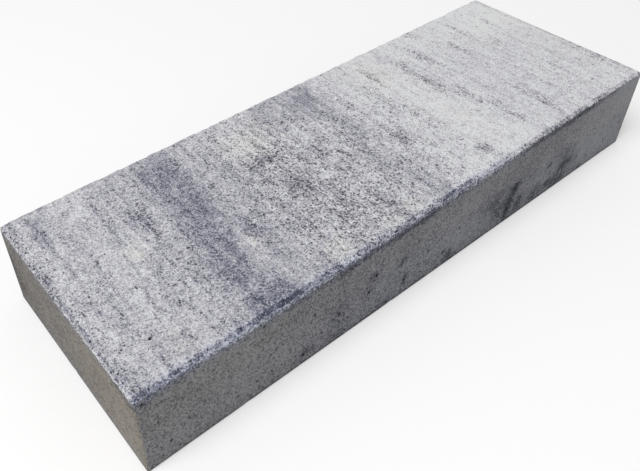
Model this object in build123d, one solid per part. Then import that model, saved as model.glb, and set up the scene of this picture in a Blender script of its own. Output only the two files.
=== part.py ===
from build123d import *
import math
import os

# Concrete block step: one solid pressed block whose tread has a chamfer all round.
# Millimetres. Origin at the middle of the bed, +X along the length, +Y to the back, +Z up.

# Overall size
length = 1000.0
depth = 350.0
height = 150.0

# Edge of the tread: the press leaves a chamfer, and a narrow flat ledge at the chamfer's foot
chamfer_run = 4.0
chamfer_drop = 4.0
ledge_width = 2.0

# Rounding of the upright corners and of the edges round the bed
arris_radius = 2.5

# Level of the ledge, where the straight sides end
ledge_height = height - chamfer_drop


def mould_block(block_height):
    """Sharp block of the mould's plan, standing on the bed."""
    return extrude(Rectangle(length, depth), block_height)


def rounded_sides(block_height):
    """Block of the mould's plan with its upright corners rounded."""
    block = mould_block(block_height)
    return fillet(block.edges().filter_by(Axis.Z), arris_radius)


def lower_body():
    """Block up to the ledge, rounded at its upright corners and round its bed."""
    block = mould_block(ledge_height)
    upright_corners = block.edges().filter_by(Axis.Z)
    bed_edges = block.edges().group_by(Axis.Z)[0]
    return fillet(upright_corners + bed_edges, arris_radius)


def pressed_tread():
    """Tread above the ledge: four chamfers that meet in mitres, kept inside the rounded corners."""
    foot_length = length - 2 * ledge_width
    foot_depth = depth - 2 * ledge_width
    chamfer_lean = math.degrees(math.atan2(chamfer_run, chamfer_drop))
    foot = Plane.XY.offset(ledge_height) * Rectangle(foot_length, foot_depth)
    return extrude(foot, chamfer_drop, taper=chamfer_lean) & rounded_sides(height)


block_step = lower_body() + pressed_tread()
block_step.label = "block_step"

os.makedirs("parts", exist_ok=True)
export_step(block_step, "parts/block_step.step")
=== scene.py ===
"""Concrete block step: a pressed block with a chamfered tread, a cloudy facing and plain grey sides."""

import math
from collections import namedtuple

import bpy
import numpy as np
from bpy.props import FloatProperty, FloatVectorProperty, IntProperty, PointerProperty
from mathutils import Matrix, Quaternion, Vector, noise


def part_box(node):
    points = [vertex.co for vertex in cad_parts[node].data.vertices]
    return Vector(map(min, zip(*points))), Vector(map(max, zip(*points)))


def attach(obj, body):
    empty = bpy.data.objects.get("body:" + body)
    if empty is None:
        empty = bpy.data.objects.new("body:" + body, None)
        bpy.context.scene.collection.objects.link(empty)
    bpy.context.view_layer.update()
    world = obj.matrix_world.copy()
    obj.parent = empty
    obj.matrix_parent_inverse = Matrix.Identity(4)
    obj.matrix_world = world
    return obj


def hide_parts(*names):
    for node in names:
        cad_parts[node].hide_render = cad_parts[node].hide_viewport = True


bl_info = {
    "name": "Concrete Block Step",
    "version": (1, 0, 0),
    "blender": (4, 5, 0),
    "location": "3D View > Sidebar > Block Step",
    "description": "Builds a concrete block step over its packed solid, with a plain studio round it",
    "category": "Add Mesh",
}

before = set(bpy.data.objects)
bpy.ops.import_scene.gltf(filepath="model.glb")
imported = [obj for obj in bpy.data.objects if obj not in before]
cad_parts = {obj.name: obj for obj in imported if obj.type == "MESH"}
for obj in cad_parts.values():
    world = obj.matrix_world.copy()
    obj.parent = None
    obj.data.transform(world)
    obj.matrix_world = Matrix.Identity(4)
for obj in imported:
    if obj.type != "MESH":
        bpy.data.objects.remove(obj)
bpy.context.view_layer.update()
BLOCK_LOW, BLOCK_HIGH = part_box("block_step")

# Units and the block's overall sizes, from the frame
MM = 0.001
HALF_LENGTH = (BLOCK_HIGH.x - BLOCK_LOW.x) / 2
HALF_DEPTH = (BLOCK_HIGH.y - BLOCK_LOW.y) / 2
HEIGHT = BLOCK_HIGH.z - BLOCK_LOW.z

# Seeds, so that each run gives the same block
PIT_SEED = 41
CHIP_SEED = 7

# Names of the surface values that the finishes read
CLOUD_AND_PAINTED_LIGHT = "cloud_and_painted_light"
GRIT = "grit"
SMEAR_AND_SHADE = "smear_and_shade"
WARMTH = "warmth"
HOLLOW_SHADE = "hollow_shade"
SPILL = "spill"
COOL = "cool"

# Camera, in metres, with the lens shift of an off-centre picture
PICTURE_WIDTH = 640
PICTURE_HEIGHT = 471
CAMERA_PLACE = Vector((-0.65157, -0.60195, 0.83061))
CAMERA_AIM = Vector((-0.12357, 0.11054, 0.0750))
CAMERA_ROLL = math.radians(-2.196)
FOCAL_PIXELS = 727.82
AXIS_PIXEL = (247.78, 174.76)
SENSOR_WIDTH = 36.0

# A stain is a soft patch of darker or paler mix on a face, in millimetres from the face's middle or foot.
# Across and up are its middle, half_across and half_up its reach, and a strength below zero is paler.
# A higher power gives it a flatter middle and firmer edges.
Stain = namedtuple("Stain", "across up half_across half_up strength power", defaults=(2,))


def stains(*rows):
    """Stains from rows of their values."""
    return tuple(Stain(*row) for row in rows)


# Blue-grey clouds on the tread: across is along the length, up is from the middle towards the back
TREAD_CLOUDS = stains(
    # The even haze over the left and the middle
    (-350, 0, 290, 400, 0.265),
    (-440, 0, 18, 260, 0.07),
    (-340, 0, 32, 220, 0.06),
    (-205, 0, 36, 260, 0.08),
    (-66, 0, 30, 260, 0.08),
    (5, 0, 42, 260, 0.165),
    (66, -20, 36, 220, 0.05),
    (320, -60, 150, 160, 0.10),
    # The broad dark band left of the middle, which wanders as it runs to the front
    (-272, 82, 34, 78, 0.42, 4),
    (-286, -10, 30, 44, 0.32, 4),
    (-292, -90, 26, 50, 0.37, 4),
    (-322, -98, 22, 36, 0.12),
    (-280, 18, 18, 16, -0.12),
    (-240, -76, 16, 60, 0.18),
    (-242, -52, 14, 18, 0.10),
    (-290, -160, 33, 22, 0.58, 4),
    (-300, -138, 18, 8, -0.12),
    (-270, -105, 10, 12, -0.17),
    (-318, 88, 14, 20, 0.12),
    # The left third
    (-463, 128, 10, 40, 0.30, 4),
    (-380, 85, 8, 60, 0.10),
    (-342, 56, 10, 28, 0.28),
    (-482, -150, 18, 28, 0.15),
    (-383, 18, 17, 15, -0.24),
    (-410, 145, 30, 34, -0.12),
    (-420, -20, 16, 120, -0.06),
    (-251, -74, 12, 14, -0.20),
    # Between the band and the middle
    (-230, -46, 9, 26, 0.16),
    (-145, 105, 36, 34, -0.10),
    (-140, 48, 18, 12, 0.30),
    (-130, -24, 16, 26, 0.30),
    (-166, -22, 12, 20, -0.10),
    (-115, -150, 9, 22, 0.22),
    (-200, 50, 18, 60, 0.11),
    (-200, -52, 14, 18, -0.14),
    (-204, -154, 18, 26, 0.14),
    (-116, -58, 14, 20, 0.12),
    # Blue haze behind the middle
    (0, 162, 18, 14, -0.10),
    (15, 132, 26, 34, 0.22, 4),
    (-25, 132, 50, 48, 0.16),
    (-66, 100, 9, 62, 0.12),
    (18, 40, 26, 60, 0.12),
    (-61, 16, 8, 16, 0.28),
    (-10, -18, 8, 28, 0.12),
    (-60, -115, 8, 40, 0.15),
    (6, -126, 24, 52, 0.13),
    (-38, -86, 14, 20, -0.10),
    (40, -54, 14, 18, -0.09),
    (62, -38, 8, 17, 0.22),
    (20, -164, 26, 16, 0.20),
    (-75, -171, 30, 8, 0.12),
    (265, -171, 70, 8, 0.12),
    # Thin streaks in the pale right part
    (130, -143, 10, 20, 0.26),
    (140, 112, 5, 30, 0.12),
    (115, 60, 6, 40, 0.08),
    (121, -25, 7, 70, 0.06),
    (204, 60, 7, 64, 0.19),
    (223, -30, 7, 32, 0.09),
    (236, -92, 7, 36, 0.09),
    (257, 95, 7, 30, 0.14),
    (198, 140, 16, 34, 0.08),
    (303, -112, 6, 40, 0.14),
    (333, 68, 6, 28, 0.07),
    (373, 105, 7, 24, 0.07),
    (293, 158, 7, 14, 0.16),
    # The palest parts
    (168, -60, 30, 130, -0.06),
    (456, 130, 70, 60, -0.15),
)

# Darker and paler stretches of the front chamfer, placed along the length alone
CHAMFER_CLOUDS = stains(
    (-440, 0, 40, 9, 0.10),
    (-375, 0, 24, 9, -0.10),
    (-292, 0, 42, 9, 0.28),
    (-268, 0, 20, 9, 0.12),
    (-170, 0, 60, 9, -0.14),
    (30, 0, 40, 9, 0.20, 4),
    (120, 0, 40, 9, -0.06),
    (270, 0, 90, 9, 0.05),
    (425, 0, 26, 9, 0.02),
)

# How far the facing spills below the front lip: places along the length in millimetres, and shares
SPILL_PLACES = (-500, -420, -350, -160, -60, -20, 60, 170, 215, 390, 450)
SPILL_SHARES = (0.75, 0.75, 1.30, 1.05, 1.05, 1.00, 1.55, 1.30, 0.34, 0.36, 0.50)

# Where dark grains crowd together on the tread, placed like the clouds
TREAD_GRIT = stains(
    # Broad speckle over the left and the middle
    (-480, 0, 220, 260, 0.48),
    (-340, 20, 45, 200, 0.26),
    (-200, 0, 90, 260, 0.30),
    (-130, -20, 80, 230, 0.62),
    (-20, -20, 100, 230, 0.62),
    (70, -20, 50, 230, 0.22),
    (310, 0, 240, 260, 0.16),
    # Clusters
    (-140, 48, 20, 14, 0.66),
    (-132, -24, 20, 28, 0.42),
    (-233, -40, 8, 22, 0.40),
    (-120, -130, 12, 50, 0.26),
    (-61, 14, 9, 16, 0.40),
    (-10, -18, 8, 28, 0.34),
    (-60, -115, 8, 40, 0.40),
    (62, -37, 9, 18, 0.70),
    (-341, 62, 10, 30, 0.60),
    (-380, 90, 8, 50, 0.26),
    (-288, -160, 30, 18, 0.24),
    # Calmer mix in the haze behind the middle and in the pale patches
    (0, 130, 60, 50, -0.24),
    (-145, 98, 40, 34, -0.36),
    (-383, 18, 16, 15, -0.30),
    # Dotted streaks in the pale right part
    (130, -143, 12, 18, 1.00),
    (140, 112, 8, 34, 0.85),
    (110, 60, 8, 42, 0.50),
    (94, 40, 7, 50, 0.36),
    (121, -25, 9, 74, 0.40),
    (204, 60, 9, 68, 1.00),
    (206, 34, 11, 22, 0.34),
    (223, -30, 9, 34, 0.65),
    (236, -92, 9, 38, 0.65),
    (257, 95, 9, 32, 0.75),
    (303, -112, 8, 44, 0.80),
    (333, 68, 8, 32, 0.70),
    (373, 105, 9, 28, 0.65),
    (293, 158, 11, 16, 0.60),
    (440, 100, 6, 44, 0.60),
    (397, 55, 6, 20, 0.50),
    (180, -35, 6, 44, 0.24),
    (485, -100, 14, 60, 0.40),
    (390, -80, 50, 70, 0.20),
)

# Warmer, sandy patches of the tread
TREAD_WARM = stains(
    (-383, 18, 14, 15, 0.9),
    (-250, -75, 14, 15, 0.8),
    (-130, 98, 42, 36, 0.7),
    (-410, -140, 22, 30, 0.5),
    (-175, -150, 30, 20, 0.6),
    (-60, -160, 30, 16, 0.6),
    (150, 115, 26, 40, 0.8),
    (168, -40, 26, 120, 0.3),
    (420, 95, 60, 50, 0.25),
    (478, 30, 22, 120, 0.3),
)

# Dark smears and patches on the front riser, and painted shadow under the lip: across is along the length, up
# is from the bed
FRONT_SMEARS_AND_SHADE = stains(
    # The streaky dark patch right of the middle
    (182, 67, 10, 10, 1.20),
    (173, 28, 7, 22, 1.30),
    (178, 45, 9, 14, 0.50),
    (133, 66, 26, 20, 0.42),
    (145, 33, 14, 16, 0.44),
    (202, 28, 9, 16, 0.70),
    (168, 46, 44, 36, 0.22),
    (180, 106, 26, 26, 0.14),
    # Broad darker stretches under the lip
    (-120, 130, 130, 24, 0.14),
    (280, 125, 60, 26, 0.09),
    # Soft patches and flecks further right
    (246, 24, 14, 18, 0.46),
    (273, 65, 7, 6, 0.80),
    (277, 23, 7, 7, 0.70),
    (290, 18, 44, 20, 0.30),
    (320, 62, 22, 18, 0.54),
    (317, 42, 9, 8, 0.70),
    (337, 42, 8, 8, 0.60),
    (355, 35, 7, 7, 0.50),
    (318, 26, 26, 20, 0.42),
    (377, 8, 5, 5, 0.80),
    # Left of the middle
    (22, 31, 8, 6, 0.50),
    (34, 20, 10, 8, 0.55),
    (37, 10, 16, 8, 0.40),
    (-63, 32, 7, 14, 0.80),
    (-112, 8, 12, 7, 0.40),
    (-72, 75, 9, 9, 0.56),
    (-130, 82, 11, 10, 0.66),
    (-137, 57, 8, 10, 0.56),
    (-192, 50, 24, 36, 0.38),
    (-249, 24, 14, 10, 0.60),
    # Ragged painted shadow under the lip
    (-465, 138, 50, 9, 0.24),
    (-300, 137, 60, 8, 0.22),
    (-190, 136, 100, 9, 0.38),
    (-125, 141, 26, 6, 0.26),
    (-60, 138, 60, 7, 0.44),
    (-22, 138, 26, 8, 0.40),
    (35, 140, 40, 6, 0.32),
    (130, 141, 40, 6, 0.36),
    (180, 140, 26, 6, 0.56),
    (215, 141, 30, 5, 0.56),
    (285, 141, 50, 5, 0.72),
    (350, 141, 40, 5, 0.68),
    (412, 143, 30, 4, 0.56),
    # Darker towards the foot, and the paler right end
    (-260, 6, 260, 18, 0.22),
    (110, 4, 260, 14, 0.26),
    (440, 90, 110, 90, -0.36),
    (485, 125, 40, 40, -0.34),
    (-380, 75, 110, 120, -0.10),
    (40, 70, 50, 60, -0.10),
)

# The left end, paler towards the front and darker towards the back: across is from the middle towards the
# back
LEFT_END_PATCHES = stains(
    (-130, 75, 80, 200, -0.24),
    (-140, 10, 60, 24, -0.14),
    (135, 75, 80, 200, 0.16),
    (162, 60, 22, 46, 0.40),
    (-150, 140, 50, 10, 0.54),
    (128, 37, 16, 14, 0.12),
)

# Pinholes that show: place on the face as for the stains, then radius and depth, all in millimetres
Pinhole = namedtuple("Pinhole", "across up radius depth")
FRONT_PINHOLES = (
    Pinhole(-490, 136, 1.9, 2.9),
    Pinhole(-462, 33, 2.1, 2.9),
    Pinhole(-434, 52, 1.4, 1.9),
    Pinhole(-411, 65, 1.1, 1.4),
    Pinhole(-363, 27, 1.5, 1.9),
    Pinhole(-333, 32, 1.9, 2.4),
    Pinhole(-319, 131, 1.8, 2.2),
    Pinhole(-254, 21, 2.1, 2.4),
    Pinhole(-237, 88, 2.4, 2.9),
    Pinhole(-223, 40, 1.8, 2.2),
    Pinhole(-202, 50, 1.8, 1.9),
    Pinhole(-192, 54, 1.9, 2.2),
    Pinhole(-126, 84, 2.2, 2.6),
    Pinhole(-137, 58, 2.0, 2.2),
    Pinhole(-68, 12, 1.9, 1.9),
    Pinhole(-64, 31, 2.4, 2.6),
    Pinhole(-43, 95, 1.6, 1.9),
    Pinhole(-15, 59, 1.6, 1.9),
    Pinhole(20, 31, 1.9, 2.2),
    Pinhole(50, 64, 1.8, 2.2),
    Pinhole(183, 66, 2.5, 2.9),
    Pinhole(174, 26, 2.5, 2.9),
)

# Faces of the block
TREAD, FRONT, RIGHT, BACK, LEFT, BED = range(6)
PINHOLES = {
    TREAD: (Pinhole(-440, -116, 1.9, 2.4),),
    FRONT: FRONT_PINHOLES,
    LEFT: (Pinhole(-125, 124, 2.2, 2.6),),
}

# Finishes of the block, in the order of its material slots
FACING, CORE = range(2)

# A pit at a grid point of a sheet: its place, mouth radius, depth, the painted shade in it and the unevenness
# of its rim
Pit = namedtuple("Pit", "a b place radius depth shade ragged")
PIT_RIM = ((-1, -1), (0, -1), (1, -1), (1, 0), (1, 1), (0, 1), (-1, 1), (-1, 0))
PIT_FLOOR_SHARE = 0.75
PIT_WALL_SHARE = 0.80
PIT_RAGGED_SHARE = 0.22
PIT_GAP_CELLS = 2
PIT_EDGE_GAP = 8 * MM
PIT_RIM_SHADE = 0.55
PIT_CLEARANCE = 0.2 * MM

# Pits drawn by chance: least and most radius, depth as a share of the radius, and the painted shade in them
PitChance = namedtuple("PitChance", "least most depth_share shade")
TREAD_PITS = PitChance(0.6 * MM, 1.5 * MM, 0.8, 0.6)
SIDE_PITS = PitChance(0.4 * MM, 1.1 * MM, 1.1, 0.85)

# Chips along the edges: least and most reach and depth, and the reach and depth of the near corner's chip
CHIP_REACH = (3.5 * MM, 8.0 * MM)
CHIP_DEPTH = (0.5 * MM, 1.3 * MM)
CORNER_CHIP = (7.0 * MM, 2.2 * MM)
LIP_CHIP_SHARE = 0.7

# Where the mesh has lines: shares of the ledge, of the chamfer and of the arris, and drops below the lip
LEDGE_SHARES = np.array((0.0, 0.5))
CHAMFER_SHARES = np.array((0.0, 0.25, 0.5, 0.75, 1.0, 1.5))
ARRIS_SHARES = np.array((0.0, 1 / 3, 2 / 3))
LIP_DROPS = np.array((3.0, 1.4, 0.6)) * MM

# A ripple is soft noise of a strength and a spacing, which may differ by axis, with its own seed
Ripple = namedtuple("Ripple", "strength spacing seed")
LIP_FRAY = (Ripple(0.9, 15 * MM, 3), Ripple(0.6, 6 * MM, 4))
CHAMFER_WOBBLE = (Ripple(0.8 * MM, 16 * MM, 8), Ripple(0.4 * MM, 5 * MM, 9))
SMEAR_RIPPLE = (Ripple(4 * MM, 14 * MM, 14),)
EDGE_PATCHES = (Ripple(0.5, 30 * MM, 15),)

# How stains on the tread wander from their places, along the length and from front to back
DRIFT_ALONG = (
    Ripple(5.0 * MM, (40 * MM, 150 * MM, 1.0), 11),
    Ripple(2.5 * MM, (11 * MM, 45 * MM, 1.0), 12),
    Ripple(3.5 * MM, (8 * MM, 12 * MM, 1.0), 16),
)
DRIFT_BACK = (Ripple(14 * MM, (16 * MM, 60 * MM, 1.0), 13),)

# Relief of the tread and the sides, and wear of the lip
HOLLOWS_SHARE = 0.65
SWELL_SHARE = 0.6
SIDE_FADE_HEIGHT = 10 * MM
FRAY_BASE = 0.30
FRAY_DROP = 7 * MM
SHARP_ANGLE = math.radians(55)

# A fade goes smoothly from its low value, at the start and before, to its high value, at the end and after
Fade = namedtuple("Fade", "start end low high")

# Darker and grittier edges of the tread: at the front by place along it, at the ends by place from the front.
# The front chamfer is partly a darker mix and partly painted shade, and the end ledge grows paler towards the
# back as a painted highlight.
LEDGE_SHADE = Fade(-350 * MM, -250 * MM, 0.08, 0.21)
CHAMFER_MIX_AND_PAINTED_SHADE = Fade(110 * MM, 220 * MM, 0.24, 0.18)
EDGE_GRIT = Fade(110 * MM, 220 * MM, 0.40, 0.75)
END_LEDGE_TONE_AND_PAINTED_HIGHLIGHT = Fade(-140 * MM, 40 * MM, 0.02, -0.06)
END_CHAMFER_SHADE = Fade(-140 * MM, 40 * MM, 0.26, 0.10)
END_CHAMFER_GRIT = 0.30
BESIDE_SHADE = 0.08
BESIDE_GRIT = 0.30
BESIDE_REACH = (8 * MM, 24 * MM)
CHAMFER_BLUR = 1 * MM

# Warmth of the ends by height, by place from the front and by height again, then of the front
SIDE_BAND = 4 * MM
TREAD_BAND = 2 * MM
END_WARMTH_REACH = (HALF_LENGTH - 3 * MM, HALF_LENGTH - 1 * MM)
END_WARMTH_UNDER_LIP = Fade(122 * MM, 142 * MM, 1.0, 0.4)
END_WARMTH_BACK = Fade(-120 * MM, 20 * MM, 1.08, 0.84)
END_WARMTH_FOOT = Fade(8 * MM, 50 * MM, 0.70, 1.0)
FRONT_WARMTH_ALONG = Fade(-480 * MM, -80 * MM, 0.24, 0.0)
FRONT_WARMTH_UP = Fade(40 * MM, 120 * MM, 0.0, 0.16)
FRONT_WARMTH_UNDER_LIP = Fade(120 * MM, 138 * MM, 1.0, 0.0)

# Painted shade along the foot of the sides, where the bed's rounded edge turns down, spill of the facing and
# cool tint over the front lip
FOOT_PAINTED_SHADE = Fade(0.8 * MM, 4.5 * MM, 1.10, 0.0)
SPILL_WANDER = 6
SPILL_OVER_EDGE = 1.2
SPILL_ON_TREAD = Fade(4 * MM, 9 * MM, 0.0, 2.0)
COOL_BACK = Fade(1 * MM, 14 * MM, 1.0, 0.0)
COOL_UP = Fade(132 * MM, 143 * MM, 0.0, 1.0)
COOL_ALONG = Fade(-200 * MM, -100 * MM, 1.0, 0.6)
COOL_LOSS_RIGHT = Fade(100 * MM, 220 * MM, 0.0, 0.6)


def tone(red, green, blue):
    """Linear colour for a colour as a screen shows it, from 0 to 255."""
    shares = (red / 255, green / 255, blue / 255)
    return tuple(s / 12.92 if s <= 0.04045 else ((s + 0.055) / 1.055) ** 2.4 for s in shares)


def length_setting(name, description, default):
    """A size in metres that a user may change."""
    return FloatProperty(
        name=name, description=description, default=default, min=0.0, unit="LENGTH", precision=4
    )


def colour_setting(name, description, default):
    """A colour that a user may change."""
    return FloatVectorProperty(
        name=name, description=description, default=(*default, 1.0), subtype="COLOR", size=4, min=0.0, max=1.0
    )


def count_setting(name, description, default):
    """A number of pieces that a user may change."""
    return IntProperty(name=name, description=description, default=default, min=0)


class BlockShape(bpy.types.PropertyGroup):
    """Sizes of the block's edges and of its relief"""

    ledge: length_setting("Ledge", "Width of the flat ledge at the chamfer's foot", 2.0 * MM)
    chamfer_run: length_setting("Chamfer run", "How far the chamfer reaches inwards", 4.0 * MM)
    chamfer_drop: length_setting("Chamfer drop", "How far the chamfer falls", 4.0 * MM)
    arris: length_setting("Arris", "Rounding of the upright corners and of the bed's edges", 2.5 * MM)
    tread_pitch: length_setting("Tread pitch", "Spacing of the mesh over the tread", 3.2 * MM)
    side_pitch: length_setting("Side pitch", "Spacing of the mesh up the sides", 4.2 * MM)
    tread_relief: length_setting("Tread relief", "Depth of the tread's open grain", 0.45 * MM)
    side_relief: length_setting("Side relief", "Depth of the waves in the sides", 0.35 * MM)
    edge_wear: length_setting("Edge wear", "How far the tread's edge is rubbed down", 0.8 * MM)
    edge_fray: length_setting("Edge fray", "How far the lip is worn back from the side", 1.5 * MM)
    tread_pits: count_setting("Tread pits", "Small open pits in the tread", 110)
    front_pits: count_setting("Front pits", "Small blow holes in the front, and as many in the back", 60)
    end_pits: count_setting("End pits", "Small blow holes in each end", 24)
    chips: count_setting("Chips", "Small chips along the edges", 34)


class FacingColours(bpy.types.PropertyGroup):
    """Colours of the tread's facing mix, from pale to dark"""

    pale: colour_setting("Pale", "Facing where it is palest", tone(226, 227, 229))
    light: colour_setting("Light", "Facing with a light haze", tone(187, 186, 193))
    hazy: colour_setting("Hazy", "Facing in the blue-grey clouds", tone(143, 145, 158))
    dark: colour_setting("Dark", "Facing where the clouds are darkest", tone(86, 89, 104))
    grain: colour_setting("Dark grain", "Dark mineral grains", tone(50, 46, 60))
    pale_grain: colour_setting("Pale grain", "Pale mineral grains", tone(230, 230, 232))
    sandy: colour_setting("Sandy tint", "Tint of the warmer patches", (1.0, 0.985, 0.93))
    cool: colour_setting("Cool tint", "Tint of the facing over the front lip", (0.89, 0.925, 1.0))


class CoreColours(bpy.types.PropertyGroup):
    """Colours of the plain concrete in the sides and the bed, from pale to dark"""

    pale: colour_setting("Pale", "Concrete where it is palest", tone(148, 149, 153))
    grey: colour_setting("Grey", "Plain concrete", tone(125, 126, 131))
    # The smear and soot colours also give the painted shadow under the lip and the painted shade along the
    # foot
    smear_and_shade: colour_setting("Smear", "Concrete under a smear", tone(88, 89, 98))
    soot_and_shade: colour_setting("Soot", "Darkest smears", tone(51, 53, 61))
    warm: colour_setting("Warm tint", "Tint of the ends", (1.0, 0.895, 0.715))
    # Painted shade at the bottom of pores and pits
    pore_shade: colour_setting("Pore", "Bottom of pores and pinholes", tone(30, 30, 32))


class StageSettings(bpy.types.PropertyGroup):
    """Floor and light of the plain studio"""

    floor: colour_setting("Floor", "Colour of the floor", (0.86, 0.86, 0.86))
    floor_lift: FloatProperty(
        name="Floor lift", description="What the floor adds to the picture to be white", default=0.16, min=0.0
    )
    sky: FloatProperty(name="Sky", description="Strength of the even light all round", default=0.40, min=0.0)
    key: FloatProperty(
        name="Key", description="Power of the lamp on the left", default=442.0, min=0.0, subtype="POWER"
    )


class BlockStepSettings(bpy.types.PropertyGroup):
    """All that a user may change about the block step and its studio"""

    shape: PointerProperty(type=BlockShape)
    facing: PointerProperty(type=FacingColours)
    core: PointerProperty(type=CoreColours)
    stage: PointerProperty(type=StageSettings)


def smooth(values, low, high):
    """Rises smoothly from 0 at low to 1 at high."""
    share = np.clip((values - low) / (high - low), 0.0, 1.0)
    return share * share * (3.0 - 2.0 * share)


def faded(values, fade):
    """Each value's place on a fade."""
    return fade.low + (fade.high - fade.low) * smooth(values, fade.start, fade.end)


def waves(points, spacing, seed):
    """Soft noise from about -1 to 1 at each point, with waves of a spacing that may differ by axis."""
    shift = Vector((seed * 3.17, seed * 5.71, seed * 7.43))
    return np.array([noise.noise(Vector(p) + shift) for p in points / np.array(spacing)])


def soft_share(points, spacing, seed):
    """Soft noise from about 0 to 1 at each point."""
    return 0.5 + 0.5 * waves(points, spacing, seed)


def rippled(points, ripples):
    """Sum of the ripples at each point."""
    return sum(ripple.strength * waves(points, ripple.spacing, ripple.seed) for ripple in ripples)


def lip_level(shape):
    """Height of the lip at the chamfer's foot."""
    return HEIGHT - shape.chamfer_drop


def edge_width(shape):
    """Width of the ledge and the chamfer together."""
    return shape.ledge + shape.chamfer_run


def inset_of(points):
    """Distance of each point from the nearest side of the block."""
    return np.minimum(HALF_LENGTH - np.abs(points[:, 0]), HALF_DEPTH - np.abs(points[:, 1]))


def grid_lines(half, edge_insets, pitch):
    """Lines from one side of the plan to the other: close together over the edges, then even."""
    inner = half - edge_insets[-1]
    count = max(2, round(2 * inner / pitch))
    middle = np.linspace(-inner, inner, count + 1)
    return np.concatenate([edge_insets[:-1] - half, middle, (half - edge_insets[:-1])[::-1]])


def inner_core(points, radius):
    """Nearest places to points in the block's middle, which ends a radius short of its sides and bed."""
    core = points.copy()
    core[:, 0] = np.clip(points[:, 0], radius - HALF_LENGTH, HALF_LENGTH - radius)
    core[:, 1] = np.clip(points[:, 1], radius - HALF_DEPTH, HALF_DEPTH - radius)
    core[:, 2] = np.maximum(points[:, 2], radius)
    return core


def round_corners(points, radius):
    """Rounds the upright corners and the bed's edges of points on a sharp block."""
    core = inner_core(points, radius)
    away = points - core
    far = np.linalg.norm(away, axis=1)
    widest = np.abs(away).max(axis=1)
    share = np.divide(widest, far, out=np.ones_like(far), where=far > 0)
    return core + away * share[:, None]


def stained(across, up, stains):
    """Sum of the stains at each place on a face, in metres."""
    total = np.zeros(len(across))
    for stain in stains:
        sideways = (across - stain.across * MM) / (stain.half_across * MM)
        lengthways = (up - stain.up * MM) / (stain.half_up * MM)
        total += stain.strength * np.exp(-(np.abs(sideways) ** stain.power) - lengthways**4)
    return total


class BlockMesh:
    """Points and faces of the block. Each face keeps the number of its finish and of the side it is on."""

    def __init__(self):
        self.points = np.zeros((0, 3))
        # Painted shade of the pits, by the number of each point
        self.hollows = {}
        self.faces = []
        self.finishes = []
        self.sides = []

    def add_points(self, points):
        """Adds points and returns their numbers."""
        first = len(self.points)
        self.points = np.vstack([self.points, points])
        return first + np.arange(len(points))

    def add_face(self, corners, finish, side):
        """Adds a face, its corners counted to the left as seen from outside."""
        self.faces.append([int(corner) for corner in corners])
        self.finishes.append(finish)
        self.sides.append(side)

    def add_sheet(self, numbers, finish, side, pits=()):
        """Adds the quads of a grid of point numbers, with a pit at each of the given grid points.
        Seen from outside, the grid's first count runs to the right and its second count up."""
        across, up = numbers.shape
        taken = np.zeros((across - 1, up - 1), bool)
        for pit in pits:
            taken[pit.a - 1 : pit.a + 1, pit.b - 1 : pit.b + 1] = True
            self.add_pit(numbers, pit, finish, side)
        for a in range(across - 1):
            for b in range(up - 1):
                if not taken[a, b]:
                    corners = (numbers[a, b], numbers[a + 1, b], numbers[a + 1, b + 1], numbers[a, b + 1])
                    self.add_face(corners, finish, side)

    def add_pit(self, numbers, pit, finish, side):
        """Sinks a round pit into the four quads that meet at one grid point, which becomes its bottom."""
        rim = [numbers[pit.a + right, pit.b + up] for right, up in PIT_RIM]
        bottom = numbers[pit.a, pit.b]
        around = self.points[rim]
        spin = np.cross(around[2] - around[0], around[4] - around[2])
        outward = spin / np.linalg.norm(spin)
        level = around.mean(axis=0)
        place = pit.place - outward * ((pit.place - level) @ outward)
        radial = around - place
        radial -= np.outer(radial @ outward, outward)
        radial /= np.linalg.norm(radial, axis=1)[:, None]
        reach = radial * (pit.radius * pit.ragged)[:, None]
        floor = place + reach * PIT_FLOOR_SHARE - outward * pit.depth * PIT_WALL_SHARE
        self.points[bottom] = place - outward * pit.depth
        mouth_ring = self.add_points(place + reach)
        floor_ring = self.add_points(floor)
        # Painted shade: full at the pit's floor and bottom, less at its mouth
        self.hollows.update(dict.fromkeys([bottom, *floor_ring], pit.shade))
        self.hollows.update(dict.fromkeys(mouth_ring, pit.shade * PIT_RIM_SHADE))
        for turn in range(len(rim)):
            after = (turn + 1) % len(rim)
            self.add_face((rim[turn], rim[after], mouth_ring[after], mouth_ring[turn]), finish, side)
            wall = (mouth_ring[turn], mouth_ring[after], floor_ring[after], floor_ring[turn])
            self.add_face(wall, finish, side)
            self.add_face((floor_ring[turn], floor_ring[after], bottom), finish, side)


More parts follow.
